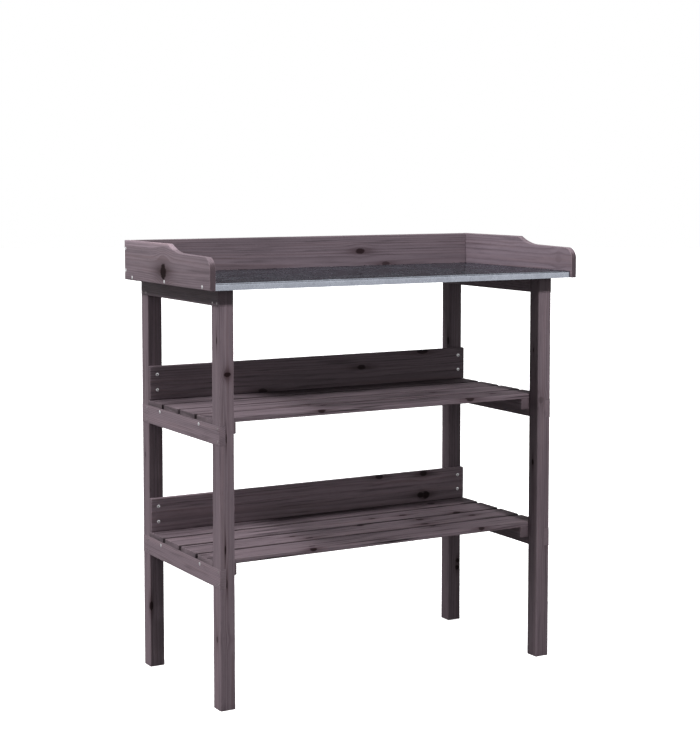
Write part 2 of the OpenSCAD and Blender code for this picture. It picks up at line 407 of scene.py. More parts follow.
@dataclass(frozen=True)
class StainedPine:
    """Grey-brown translucent stain over pine: growth rings, fibres, knots, paler arrises that are partly wear
    and partly a painted edge highlight, and painted shade on the sides that face a narrow gap.
    """

    early: Colour = (0.212, 0.164, 0.190)
    late: Colour = (0.106, 0.075, 0.088)
    red: Colour = (0.170, 0.108, 0.108)
    knot: Colour = (0.012, 0.005, 0.006)
    end: Colour = (0.056, 0.039, 0.046)
    smear: Colour = (0.048, 0.027, 0.032)
    # Paler colour at the arrises: partly wear of the stain, partly a painted edge highlight.
    worn: Colour = (0.235, 0.190, 0.205)
    bends: Figure = Figure(1.9, 5.0, 0.0, 1.0)
    leans: Figure = Figure(1.4, 4.0, 9.1, 1.0)
    ripples: Figure = Figure(16.0, 34.0, 4.3, 2.0)
    years: Figure = Figure(0.4, 60.0, 1.1, 1.0)
    streaks: Figure = Figure(2.6, 95.0, 2.2, 3.0, 0.6)
    fibres: Figure = Figure(26.0, 950.0, 6.6, 3.0, 0.7)
    dashes: Figure = Figure(70.0, 1500.0, 7.7, 1.0)
    blotches: Figure = Figure(5.0, 14.0, 3.9, 3.0, 0.6)
    lines: Figure = Figure(7.0, 210.0, 8.4, 2.0, 0.55)
    rags: Figure = Figure(60.0, 210.0, 5.0, 3.0, 0.6)
    wander: float = 6 * MM
    ripple: float = 0.9 * MM
    year_wander: float = 1.6
    late_start: Point2 = (0.30, 0.88)
    late_end: Point2 = (0.90, 1.0)
    red_share: float = 0.45
    dash_shade: float = 0.35
    wear_share: float = 0.34
    sapwood_light: float = 0.60
    sapwood_edge: float = 2.5 * MM
    # How much the painted shade darkens the sides that face a narrow gap.
    pooling: float = 0.72
    swell: float = 0.18
    swell_pull: float = 0.72
    halo_along: float = 0.09
    halo_across: float = 0.64
    raggedness: float = 0.8
    relief: float = 0.35 * MM
    relief_strength: float = 0.55
    roughness: float = 0.55
    gloss_level: float = 0.11

    def material(self, name: str, grain: Grain) -> bpy.types.Material:
        """Makes the finish of one board.

        Args:
            name: The board's name.
            grain: How it was cut.

        Returns:
            The material.
        """
        made = bpy.data.materials.new(f"{Slot.PINE.value}_{name}")
        graph = Graph(made)
        stain = grain.stain
        parts = graph.parts(graph.place())
        along, wide, thick = [parts[axis.value] for axis in (grain.along, grain.wide, grain.thick)]
        wide = wide + self._drift(graph, grain, self.bends, self.wander)
        wide = wide + self._drift(graph, grain, self.ripples, self.ripple)
        thick = thick + self._drift(graph, grain, self.leans, self.wander)
        core, halo, wide, thick = self._knots(graph, grain, along, wide, thick)
        late, phase = self._rings(graph, grain, wide, thick)
        streak = grain.noise(graph, self.streaks)
        fibre = grain.noise(graph, self.fibres)
        dash = grain.noise(graph, self.dashes).fade(0.66, 0.78)
        blotch = grain.noise(graph, self.blotches)
        line = grain.noise(graph, self.lines).fade(0.52, 0.70)
        sawn = graph.facing(grain.along).fade(0.75, 0.95)
        shade = (0.28 + streak * 0.70 + blotch * 0.38 + fibre * 0.46) * stain.tone
        shade = shade * (1.0 - line * (1.0 - sawn * 0.8) * stain.lines) * (1.0 - dash * self.dash_shade)
        if stain.sapwood is not None:
            edge = grain.place(grain.wide, stain.sapwood)
            uneven = wide + (blotch - 0.5) * (4 * MM)
            shade = shade * (1.0 + uneven.fade(edge, edge + self.sapwood_edge) * self.sapwood_light)
        colour = graph.mix(late * (0.20 + blotch * 0.50), self.early, self.late)
        colour = graph.mix(phase * streak.fade(0.45, 0.75) * self.red_share, colour, self.red)
        colour = graph.tinted(colour, shade)
        # Paler arrises: partly wear, partly a painted edge highlight.
        wear = graph.attribute("arris") * blotch.fade(0.35, 0.70) * self.wear_share
        colour = graph.mix(wear, colour, self.worn)
        colour = graph.mix(sawn * stain.end_stain, colour, self.end)
        colour = graph.mix((halo * (0.50 + streak * 0.90)).at_most(0.94), colour, self.smear)
        colour = graph.mix(core, colour, self.knot)
        height = late * 0.45 + fibre * 0.55 + core * 0.30 - dash * 0.30
        # The base colour is darkened by painted shade on the sides that face a narrow gap.
        graph.surface(
            Base_Color=graph.tinted(colour, 1.0 - graph.attribute("pooled") * self.pooling),
            Roughness=self.roughness + fibre * 0.16 - late * 0.06 + core * 0.25 + sawn * 0.15,
            Normal=graph.bump(height, self.relief, self.relief_strength),
            Specular_IOR_Level=self.gloss_level,
        )
        return made

    @staticmethod
    def _drift(graph: Graph, grain: Grain, figure: Figure, reach: float) -> Signal:
        """How far the grain strays from straight, up to about a reach in metres."""
        return (grain.noise(graph, figure) - 0.5) * (2 * reach)

    def _knots(
        self, graph: Graph, grain: Grain, along: Signal, wide: Signal, thick: Signal
    ) -> tuple[Signal, Signal, Signal, Signal]:
        """Bends the grain round each knot and masks its core and halo.

        Args:
            graph: The material's graph.
            grain: How the board was cut, with its knots.
            along: The place along the grain.
            wide: The place across the width.
            thick: The place across the thickness.

        Returns:
            The cores' mask, the halos' mask, and both places across, bent round the knots.
        """
        ragged = (grain.noise(graph, self.rags) - 0.5) * self.raggedness
        core = halo = ragged * 0.0
        places = {grain.wide: wide, grain.thick: thick}
        for knot in grain.stain.knots:
            axis, other = (grain.thick, grain.wide) if knot.edge else (grain.wide, grain.thick)
            across_gap = places[axis] - grain.place(axis, knot.across)
            long = ((along - grain.place(grain.along, knot.along)) * (1 / knot.length)) ** 2.0
            broad = (across_gap * (1 / knot.width)) ** 2.0
            deep: Operand = 0.0
            if knot.reach is not None:
                deep = ((places[other] - grain.place(other, knot.through)) * (1 / knot.reach)) ** 2.0
            swell = ((long + broad) * self.swell + deep).bell()
            tail = (long * self.halo_along + broad * self.halo_across + deep).bell()
            outline = (long + broad + deep).root() + ragged
            core = (outline.fade(1.18, 0.80) * knot.depth).at_least(core)
            halo = (tail * knot.depth).at_least(halo)
            places[axis] = places[axis] - across_gap * swell * self.swell_pull
        return core, halo, places[grain.wide], places[grain.thick]

    def _rings(self, graph: Graph, grain: Grain, wide: Signal, thick: Signal) -> tuple[Signal, Signal]:
        """Growth rings about the log's pith.

        Args:
            graph: The material's graph.
            grain: How the board was cut.
            wide: The place across the width.
            thick: The place across the thickness.

        Returns:
            The late wood's mask, and the share of the way through a ring.
        """
        from_pith_wide = wide - (grain.place(grain.wide, 0.5) + grain.pith_wide)
        from_pith_thick = thick - (grain.place(grain.thick, 0.5) + grain.pith_thick)
        distance = (from_pith_wide ** 2.0 + from_pith_thick ** 2.0).root()
        phase = (distance * (1 / grain.ring) + grain.noise(graph, self.years) * self.year_wander).fraction()
        late = phase.fade(*self.late_start) * (1.0 - phase.fade(*self.late_end))
        return late, phase


@dataclass(frozen=True)
class Galvanised:
    """Hot-dip zinc on sheet steel: spangle, fine speckle and a blurred shine."""

    dark: Colour = (0.165, 0.175, 0.205)
    pale: Colour = (0.43, 0.455, 0.52)
    edge_tint: Colour = (0.42, 0.43, 0.47)
    spangle: float = 62.0
    flake: float = 3.1
    warp: float = 1.4
    speckle: float = 620.0
    relief: float = 0.05 * MM
    relief_strength: float = 0.04

    def material(self) -> bpy.types.Material:
        """Makes the finish.

        Returns:
            The material.
        """
        made = bpy.data.materials.new(Slot.SHEET.value)
        graph = Graph(made)
        push = graph.even_noise(45.0, 2.0) * self.warp
        pushes = graph.node("ShaderNodeCombineXYZ", None, {0: push, 1: push, 2: push})
        place = graph.vector("MULTIPLY", graph.place(), (self.spangle,) * 3)
        place = graph.vector("ADD", place, Signal(graph, pushes.outputs[0]))
        cells = graph.node("ShaderNodeTexVoronoi", {"feature": "F1"}, {"Vector": place, "Scale": 1.0})
        flakes = graph.node("ShaderNodeTexVoronoi", {"feature": "F1"}, {"Vector": place, "Scale": self.flake})
        cell = graph.parts(Signal(graph, cells.outputs["Color"]))[0]
        flake = graph.parts(Signal(graph, flakes.outputs["Color"]))[1]
        ridge = (Signal(graph, cells.outputs["Distance"]) * 9.0 + cell * 7.0).fraction()
        frost = graph.noise((self.speckle, self.speckle, self.speckle / 2), 4.0, 3.0, 0.7)
        cloud = graph.noise((9.0, 14.0, 9.0), 7.0, 3.0, 0.55)
        lip = graph.facing(Axis.Y)
        tone = cell * 0.26 + flake * 0.20 + ridge * 0.08 + cloud * 0.40
        tone = tone + frost * (0.08 + lip * 0.28) - lip * 0.13
        graph.surface(
            Base_Color=graph.mix(tone.at_least(0.0).at_most(1.0), self.dark, self.pale),
            Metallic=1.0,
            Specular_Tint=(*self.edge_tint, 1.0),
            Roughness=0.17 + cell * 0.06 + flake * 0.03 + cloud * 0.06,
            Normal=graph.bump(cell * 0.4 + frost * 0.6, self.relief, self.relief_strength),
        )
        return made


@dataclass(frozen=True)
class ZincPlate:
    """Bright zinc plating on screws and nails."""

    name: str = Slot.ZINC.value
    base: Colour = (0.80, 0.80, 0.82)
    dull: Colour = (0.52, 0.51, 0.52)
    metallic: float = 0.70
    relief: float = 0.02 * MM

    def material(self) -> bpy.types.Material:
        """Makes the finish.

        Returns:
            The material.
        """
        made = bpy.data.materials.new(self.name)
        graph = Graph(made)
        patch = graph.even_noise(700.0, 1.0)
        scratch = graph.even_noise(2600.0, 3.0, 2.0)
        graph.surface(
            Base_Color=graph.mix(patch.fade(0.40, 0.72), self.base, self.dull),
            Metallic=self.metallic,
            Roughness=0.26 + patch * 0.18 + scratch * 0.08,
            Normal=graph.bump(scratch, self.relief, 0.4),
        )
        return made


@dataclass(frozen=True)
class PalePaint:
    """A plain studio surface that glows, so that its shadows stay light."""

    name: str
    glow: float
    grey: float = 0.0

    def material(self) -> bpy.types.Material:
        """Makes the finish.

        Returns:
            The material.
        """
        made = bpy.data.materials.new(self.name)
        Graph(made).surface(
            Base_Color=(self.grey, self.grey, self.grey, 1.0),
            Roughness=0.9,
            Specular_IOR_Level=0.0,
            Emission_Color=(1.0, 1.0, 1.0, 1.0),
            Emission_Strength=self.glow,
        )
        return made


# ----------------------------------------------------------------------------- meshes


def run(start: Sequence[float], end: Sequence[float], steps: int) -> list[tuple[float, ...]]:
    """Points along a straight line, after its first."""
    return [tuple(a + (b - a) * step / steps for a, b in zip(start, end)) for step in range(1, steps + 1)]


def arc(centre: Point2, radius: float, start: float, end: float, steps: int) -> list[Point2]:
    """Points along an arc, after its first; angles are in degrees from the first axis."""
    turns = [math.radians(turn) for (turn,) in run((start,), (end,), steps)]
    return [(centre[0] + radius * math.cos(turn), centre[1] + radius * math.sin(turn)) for turn in turns]


def bridge(graph: bmesh.types.BMesh, loops: Sequence[list[bmesh.types.BMVert]]) -> None:
    """Joins each closed loop of points to the next with a band of faces.

    Args:
        graph: The bmesh that holds the points.
        loops: The loops in order, each with as many points as the next.
    """
    for first, second in zip(loops, loops[1:]):
        for index, point in enumerate(first):
            after = (index + 1) % len(first)
            graph.faces.new((point, first[after], second[after], second[index]))


def solids_of(node: bpy.types.Object) -> list[tuple[Vector, Vector]]:
    """The boxes of the separate solids in one CAD node.

    Args:
        node: The CAD node's object.

    Returns:
        The lowest and highest corners of each solid, in a fixed order.
    """
    graph = bmesh.new()
    graph.from_mesh(node.data)
    bmesh.ops.remove_doubles(graph, verts=graph.verts, dist=WELD)
    graph.verts.index_update()
    seen: set[int] = set()
    found: list[tuple[Vector, Vector]] = []
    for start in graph.verts:
        if start.index in seen:
            continue
        seen.add(start.index)
        island = [start]
        for vertex in island:
            for edge in vertex.link_edges:
                other = edge.other_vert(vertex)
                if other.index not in seen:
                    seen.add(other.index)
                    island.append(other)
        places = [vertex.co for vertex in island]
        found.append(tuple(Vector([reach(axis) for axis in zip(*places)]) for reach in (min, max)))
    graph.free()
    return sorted(found, key=lambda pair: tuple(round(x, 4) for x in pair[0]))


def make_object(name: str, graph: bmesh.types.BMesh, flat_above: float = 40.0) -> bpy.types.Object:
    """Turns a bmesh into an object with smooth faces and sharp edges where it turns.

    Args:
        name: The object's name.
        graph: The bmesh, which is freed.
        flat_above: The turn in degrees above which an edge stays sharp.

    Returns:
        The object, linked to the scene.
    """
    bmesh.ops.recalc_face_normals(graph, faces=graph.faces)
    for face in graph.faces:
        face.smooth = True
    for edge in graph.edges:
        turn = edge.calc_face_angle(0.0) if len(edge.link_faces) == 2 else math.pi
        edge.smooth = turn < math.radians(flat_above)
    mesh = bpy.data.meshes.new(name)
    graph.to_mesh(mesh)
    graph.free()
    return link_object(name, mesh)


def link_object(name: str, data: bpy.types.ID) -> bpy.types.Object:
    """Makes an object and links it to the scene.

    Args:
        name: Its name.
        data: Its mesh, light or camera.

    Returns:
        The object.
    """
    made = bpy.data.objects.new(name, data)
    bpy.context.scene.collection.objects.link(made)
    return made


def finish_piece(piece: bpy.types.Object, node: str, material: bpy.types.Material) -> None:
    """Dresses a piece and ties it to the frame.

    Args:
        piece: The new object.
        node: The CAD node that it replaces.
        material: Its finish.
    """
    piece.data.materials.append(material)
    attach(piece, BODY)
    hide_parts(node)
    LOG.info("%s: %d faces", piece.name, len(piece.data.polygons))


@dataclass(frozen=True)
class Corner:
    """One point of a timber's section, and how much of an arris it is."""

    a: float
    b: float
    arris: float = 0.0


@dataclass(frozen=True)
class Section:
    """A rectangle with rounded corners, about its middle.

    The radii are those of the high and the low side of the second axis. The long sides get a
    point at each of a_stops, and the other two get b_count points between the corners.
    """

    size_a: float
    size_b: float
    radii: Point2
    a_stops: Sequence[float]
    b_count: int
    corner_steps: int = 5

    def points(self) -> list[Corner]:
        """Works out the section's outline.

        Returns:
            The section's points in order.
        """
        half_a, half_b = self.size_a / 2, self.size_b / 2
        points: list[Corner] = []
        for index, (sign_a, sign_b) in enumerate(((1, 1), (-1, 1), (-1, -1), (1, -1))):
            points += self.rounded(sign_a, sign_b, 90.0 * index)
            if index % 2 == 0:
                stops = sorted(self.a_stops, reverse=sign_a > 0)
                points += [Corner(stop, sign_b * half_b) for stop in stops]
            else:
                ends = ((half_b - self.radii[0],), (self.radii[1] - half_b,))
                start, end = ends if sign_a < 0 else reversed(ends)
                points += [Corner(sign_a * half_a, b) for (b,) in run(start, end, self.b_count + 1)[:-1]]
        return points

    def rounded(self, sign_a: int, sign_b: int, start: float) -> list[Corner]:
        """One rounded corner.

        Args:
            sign_a: Its side of the first axis.
            sign_b: Its side of the second axis.
            start: The turn in degrees at which its arc starts.

        Returns:
            Its points.
        """
        radius = self.radii[0] if sign_b > 0 else self.radii[1]
        points = []
        for step in range(self.corner_steps + 1):
            turn = math.radians(start + 90.0 * step / self.corner_steps)
            a = sign_a * (self.size_a / 2 - radius) + radius * math.cos(turn)
            b = sign_b * (self.size_b / 2 - radius) + radius * math.sin(turn)
            points.append(Corner(a, b, math.sin(math.pi * (step + 0.35) / (self.corner_steps + 0.7))))
        return points


@dataclass
class Timber:
    """A length of pine: a rounded section swept along its grain, with eased ends."""

    node: str
    along: Axis
    wide: Axis
    arris: float = 1.5 * MM
    stain: Stain = Stain()
    arris_low: Optional[float] = None
    ring: float = 2.5 * MM
    pith: Point2 = (24 * MM, 46 * MM)
    end_ease: float = 1.0 * MM
    end_steps: int = 3
    # The sides, by axis and sign, that face a narrow gap and get painted shade.
    pooled: tuple[tuple[Axis, int], ...] = ()
    spacing: float = 14 * MM
    section_spacing: float = 9 * MM
    smallest_arris: float = 0.3 * MM
    arris_wear: float = 0.16
    sway: float = 0.10 * MM
    seed: int = 0
    finish: StainedPine = StainedPine()

    @property
    def thick(self) -> Axis:
        """The axis through the thickness."""
        return next(axis for axis in Axis if axis not in (self.along, self.wide))

    def stations(self, low: float, high: float) -> list[tuple[float, float, bool]]:
        """Where the loops stand along the grain.

        Args:
            low: The low end.
            high: The high end.

        Returns:
            For each loop its place, how far it is drawn in, and whether a lap limits it.
        """
        ease = self.end_ease
        turns = [math.pi / 2 * step / self.end_steps for step in range(self.end_steps + 1)]
        eased = [(low + ease * (1 - math.cos(turn)), ease * (1 - math.sin(turn)), False) for turn in turns]
        count = max(2, round((high - low) / self.spacing))
        inner = [(place, 0.0, False) for (place,) in run((low + ease,), (high - ease,), count)[:-1]]
        mirrored = [(low + high - place, inset, False) for place, inset, _ in reversed(eased)]
        return eased + inner + mirrored

    def limited(self, place: Vector, lapped: bool) -> Vector:
        """Keeps a point on its own side of a lap joint; a plain timber has none."""
        return place

    def a_stops(self, low: float, high: float) -> list[float]:
        """Where the section's long sides get extra points, from the middle.

        Args:
            low: The low side.
            high: The high side.

        Returns:
            The places.
        """
        count = max(1, round((high - low) / self.section_spacing))
        span = (high - low) / 2 - self.arris - 0.5 * MM
        return [span * (2 * step / (count + 1) - 1) for step in range(1, count + 1)]

    def section(self, low: Vector, high: Vector, place: float, inset: float) -> list[Corner]:
        """The timber's section at one place.

        Args:
            low: The timber's lowest corner.
            high: The timber's highest corner.
            place: The place along the grain.
            inset: How far the section is drawn in.

        Returns:
            Its points, from the timber's middle.
        """
        size = high - low
        wear = noise.noise(Vector((place * 23.0, self.seed * 3.1, 0.0)))
        radius = max(self.smallest_arris, self.arris * (1.0 + self.arris_wear * wear) - inset)
        under = radius if self.arris_low is None else max(self.smallest_arris, self.arris_low - inset)
        size_a, size_b = size[self.wide.value], size[self.thick.value]
        stops = self.a_stops(low[self.wide.value], high[self.wide.value])
        b_count = max(1, round(size_b / self.section_spacing))
        return Section(size_a - 2 * inset, size_b - 2 * inset, (radius, under), stops, b_count).points()

    def build(self) -> bpy.types.Object:
        """Builds, dresses and ties the timber.

        Returns:
            The object.
        """
        low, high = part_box(self.node)
        middle = (low + high) / 2
        graph = bmesh.new()
        # Arris mask for the paler arrises, which are partly wear and partly a painted edge highlight.
        worn = graph.verts.layers.float.new("arris")
        # Painted shade on the sides that face a narrow gap, which the finish darkens.
        pooled = graph.verts.layers.float.new("pooled")
        loops: list[list[bmesh.types.BMVert]] = []
        for place, inset, lapped in self.stations(low[self.along.value], high[self.along.value]):
            loop = []
            for corner in self.section(low, high, place, inset):
                point = Vector(middle)
                point[self.along.value] = place
                point[self.wide.value] += corner.a
                point[self.thick.value] += corner.b
                point = self.limited(self.swayed(point, middle), lapped)
                vertex = graph.verts.new(point)
                vertex[worn] = max(corner.arris, 0.5 if inset > 0 else 0.0)
                vertex[pooled] = self.stained(point, low, high)
                loop.append(vertex)
            loops.append(loop)
        bridge(graph, loops)
        graph.faces.new(loops[0])
        graph.faces.new(loops[-1])
        bmesh.ops.remove_doubles(graph, verts=graph.verts, dist=WELD)
        return self.dressed(make_object(f"{self.node}_timber", graph), low, high)

    def dressed(self, piece: bpy.types.Object, low: Vector, high: Vector) -> bpy.types.Object:
        """Gives the piece its finish and ties it, with a pith place drawn from the timber's seed.

        Args:
            piece: The piece.
            low: The timber's lowest corner.
            high: The timber's highest corner.

        Returns:
            The piece.
        """
        draw = random.Random(1000 + self.seed)
        grain = Grain(
            along=self.along,
            wide=self.wide,
            thick=self.thick,
            low=low,
            high=high,
            pith_wide=self.pith[0] * draw.uniform(-1.0, 1.0),
            pith_thick=self.pith[1] * draw.choice((-1.0, 1.0)) * draw.uniform(0.6, 1.3),
            ring=self.ring * draw.uniform(0.8, 1.35),
            seed=draw.uniform(5.0, 95.0),
            stain=self.stain,
        )
        finish_piece(piece, self.node, self.finish.material(self.node, grain))
        return piece

    # Painted shade: sides that face a narrow gap are darkened where shade falls between parts.
    def stained(self, point: Vector, low: Vector, high: Vector) -> float:
        """How much painted shade darkens a point, on the sides that face a narrow gap.

        Args:
            point: The point.
            low: The timber's lowest corner.
            high: The timber's highest corner.

        Returns:
            From 0 to 1.
        """
        amount = 0.0
        for axis, sign in self.pooled:
            side = high if sign > 0 else low
            gap = abs(point[axis.value] - side[axis.value])
            amount = max(amount, 1.0 - min(1.0, gap / (0.7 * self.arris)))
        return amount

    def swayed(self, point: Vector, middle: Vector) -> Vector:
        """Moves a point in or out a little, as planed timber does.

        Args:
            point: The point.
            middle: The timber's middle.

        Returns:
            The moved point.
        """
        drift = noise.noise(point * 14.0 + Vector((self.seed * 5.3, 1.7, 0.0))) - 0.6
        for axis in (self.wide, self.thick):
            outward = point[axis.value] - middle[axis.value]
            point[axis.value] += math.copysign(min(abs(outward), self.sway), outward) * drift
        return point


@dataclass
class LappedTimber(Timber):
    """A timber that a half-lap joint cuts away on one side of a plane."""

    lap_plane: float = 0.0
    keep_inside: bool = True
    laps: tuple[Point2, ...] = ()

    def stations(self, low: float, high: float) -> list[tuple[float, float, bool]]:
        """Where the loops stand, with a pair at each end of a lap.

        Args:
            low: The low end.
            high: The high end.

        Returns:
            For each loop its place, how far it is drawn in, and whether a lap limits it.
        """
        near = self.spacing * 0.3
        ends = [end for lap in self.laps for end in lap if low + near < end < high - near]
        loops = [
            (place, inset, any(lap[0] < place < lap[1] for lap in self.laps))
            for place, inset, _ in super().stations(low, high)
            if inset > 0 or all(abs(place - end) > near for end in ends)
        ]
        for end in ends:
            starts = any(abs(end - lap[0]) < WELD for lap in self.laps)
            loops.append((end, 0.0, not starts))
            loops.append((end + WELD * 0.01, 0.0, starts))
        return sorted(loops, key=lambda loop: loop[0])

    def limited(self, place: Vector, lapped: bool) -> Vector:
        """Keeps a point on its own side of the lap plane.

        Args:
            place: The point.
            lapped: Whether the point is in a lap.

        Returns:
            The point, moved onto the plane where it would cross it.
        """
        if lapped:
            reach = min if self.keep_inside else max
            place.x = math.copysign(reach(abs(place.x), self.lap_plane), place.x)
        return place

    def a_stops(self, low: float, high: float) -> list[float]:
        """The sides across the joint get one point, on the lap plane."""
        centre = (low + high) / 2
        return [math.copysign(self.lap_plane, centre) - centre]


# ----------------------------------------------------------------------------- sub-assemblies


@dataclass
class LegFrame:
    """The two legs, three rails and two cleats of one side."""

    side: Side
    knots: dict[str, tuple[Knot, ...]]
    # Tone of the legs; on the right side it is lowered as painted shade.
    leg_tone: float
    seed: int
    leg_arris: float = 2.2 * MM
    rail_arris: float = 0.9 * MM
    lap_gap: float = 0.12 * MM
    lap_thickness: float = 13 * MM

    def build(self) -> list[bpy.types.Object]:
        """Builds the side frame.

        Returns:
            Its pieces.
        """
        rails = [f"{place}_rail_{self.side.word}" for place in ("top", "upper", "lower")]
        legs = [f"leg_{place}_{self.side.word}" for place in ("front", "back")]
        cleats = [f"{place}_cleat_{self.side.word}" for place in ("upper", "lower")]
        timbers: list[Timber] = [self.leg(leg, rails, self.seed + number) for number, leg in enumerate(legs)]
        for number, rail in enumerate(rails):
            timbers.append(self.rail(rail, legs, number > 0, self.seed + 4 + number))
        for number, cleat in enumerate(cleats):
            timbers.append(Timber(cleat, Axis.Y, Axis.Z, seed=self.seed + 8 + number))
        return [timber.build() for timber in timbers]

    def plane(self, leg: str) -> float:
        """How far from the bench's middle the lap joints meet."""
        return max(abs(corner.x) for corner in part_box(leg)) - self.lap_thickness

    def leg(self, leg: str, rails: Sequence[str], seed: int) -> LappedTimber:
        """One leg, notched for the rails.

        Args:
            leg: Its node.
            rails: The rails' nodes.
            seed: Its seed.

        Returns:
            The leg, not built yet.
        """
        return LappedTimber(
            leg, Axis.Z, Axis.X, self.leg_arris,
            Stain(self.knots.get(leg, ()), self.leg_tone),
            ring=2.2 * MM,
            pith=(30 * MM, 40 * MM),
            seed=seed,
            lap_plane=self.plane(leg) - self.lap_gap,
            keep_inside=True,
            laps=tuple((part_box(rail)[0].z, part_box(rail)[1].z) for rail in rails),
        )

    def rail(self, rail: str, legs: Sequence[str], carries_slats: bool, seed: int) -> LappedTimber:
        """One rail, with a tongue over each leg.

        Args:
            rail: Its node.
            legs: The front and the back leg's nodes.
            carries_slats: Whether painted shade darkens its top, under the slats.
            seed: Its seed.

        Returns:
            The rail, not built yet.
        """
        low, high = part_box(rail)
        front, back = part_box(legs[0])[1].y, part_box(legs[1])[0].y
        return LappedTimber(
            rail, Axis.Y, Axis.X, self.rail_arris,
            Stain(end_stain=0.12),
            pith=(26 * MM, 30 * MM),
            end_ease=0.5 * MM,
            # Painted shade along the top, under the slats.
            pooled=((Axis.Z, 1),) if carries_slats else (),
            seed=seed,
            lap_plane=self.plane(legs[0]) + self.lap_gap,
            keep_inside=False,
            laps=((low.y - 1.0, front + self.lap_gap), (back - self.lap_gap, high.y + 1.0)),
        )


@dataclass
class Shelf:
    """One slatted shelf with its back board."""

    level: str
    seed: int
    # Tone of the back board; the lower board's higher tone is painted light.
    board_tone: float
    knots: dict[str, tuple[Knot, ...]]
    slats: int = 4

    def build(self) -> list[bpy.types.Object]:
        """Builds the slats and the back board.

        Returns:
            The pieces.
        """
        pieces = []
        for number in range(1, self.slats + 1):
            slat = f"{self.level}_slat_{number}"
            timber = Timber(
                slat, Axis.X, Axis.Y, 2.5 * MM,
                # The low tone is painted shade: it darkens the slats for shade that the lights don't give.
                Stain(self.knots.get(slat, ()), tone=0.79, end_stain=0.0, lines=0.90),
                arris_low=0.6 * MM,
                end_ease=0.5 * MM,
                # Painted shade on the sides that face the gaps between slats.
                pooled=((Axis.Y, 1),) if number == 1 else ((Axis.Y, 1), (Axis.Y, -1)),
                seed=self.seed + number,
            )
            pieces.append(timber.build())
        board = f"{self.level}_back_board"
        stain = Stain(self.knots.get(board, ()), self.board_tone, lines=0.36)
        timber = Timber(board, Axis.X, Axis.Z, 2.0 * MM, stain, ring=3.4 * MM, seed=self.seed + 9)
        pieces.append(timber.build())
        return pieces


@dataclass
class RimBoard(Timber):
    """A side rim: a board whose top is coved down to a low front with a rounded nose."""

    arris: float = 2.0 * MM
    ring: float = 3.0 * MM
    shoulder: float = 16 * MM
    cove_radius: float = 135 * MM
    cove_foot: float = 123 * MM
    crown_radius: float = 7 * MM
    front_fall: float = 2 * MM
    nose_radius: float = 22 * MM
    edge_steps: int = 4

    def outline(self, low: Vector, high: Vector) -> list[Point2]:
        """The board's outline seen from its side.

        Args:
            low: The board's lowest corner.
            high: The board's highest corner.

        Returns:
            Points (y, z) in order: up the front, over the nose, along the cove and down the back.
        """
        foot = (low.y + self.cove_foot, high.z - self.shoulder)
        nose = (low.y + self.nose_radius, foot[1] - self.front_fall - self.nose_radius)
        centre = foot[1] + self.cove_radius
        crown_z = high.z - self.crown_radius
        reach = math.sqrt((self.cove_radius + self.crown_radius) ** 2 - (centre - crown_z) ** 2)
        touch = math.degrees(math.atan2(reach, centre - crown_z))
        crown = (foot[0] + reach, crown_z)
        points = [(low.y, low.z)]
        points += run(points[-1], (low.y, nose[1]), 5)
        points += arc(nose, self.nose_radius, 180.0, 90.0, 12)
        points += run(points[-1], foot, 10)
        points += arc((foot[0], centre), self.cove_radius, -90.0, touch - 90.0, 12)
        points += arc(crown, self.crown_radius, 90.0 + touch, 90.0, 6)
        points += run(points[-1], (high.y, high.z), 20)
        points += run(points[-1], (high.y, low.z), 6)
        points += run(points[-1], (low.y, low.z), 24)[:-1]
        return points

    def build(self) -> bpy.types.Object:
        """Builds, dresses and ties the rim board.

        Returns:
            The object.
        """
        low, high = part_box(self.node)
        outline = self.outline(low, high)
        graph = bmesh.new()
        worn = graph.verts.layers.float.new("arris")
        turns = [math.pi / 2 * step / self.edge_steps for step in range(self.edge_steps + 1)]
        profile = [(low.x + self.arris * (1 - math.cos(t)), self.arris * (1 - math.sin(t))) for t in turns]
        profile += [(low.x + high.x - x, inset) for x, inset in reversed(profile)]
        loops = []
        for x, inset in profile:
            loop = [graph.verts.new((x, y, z)) for y, z in offset_outline(outline, inset)]
            # Arris mask: 1.0 on the bevels and 0.25 elsewhere, for paler arrises that are partly a painted
            # edge highlight.
            for vertex in loop:
                vertex[worn] = 1.0 if 0 < inset < self.arris else 0.25
            loops.append(loop)
        bridge(graph, loops)
        for loop in (loops[0], loops[-1]):
            graph.faces.new(loop)
            for vertex in loop:
                vertex[worn] = 0.0
        return self.dressed(make_object(f"{self.node}_board", graph, 35.0), low, high)


def offset_outline(outline: Sequence[Point2], inset: float) -> list[Point2]:
    """Draws a closed outline in by a distance.

    Args:
        outline: Its points, clockwise or not, with the solid on one side all along.
        inset: How far it is drawn in.

    Returns:
        The moved points.
    """
    ahead = list(outline[1:]) + [outline[0]]
    area = sum(one[0] * two[1] - two[0] * one[1] for one, two in zip(outline, ahead))
    turn = math.copysign(1.0, area)
    moved = []
    for index, (y, z) in enumerate(outline):
        first = Vector((y - outline[index - 1][0], z - outline[index - 1][1])).normalized()
        second = Vector((ahead[index][0] - y, ahead[index][1] - z)).normalized()
        normal = Vector((-(first.y + second.y), first.x + second.x)).normalized() * turn
        reach = inset / max(0.3, normal.dot(Vector((-first.y, first.x)) * turn))
        moved.append((y + normal.x * reach, z + normal.y * reach))
    return moved


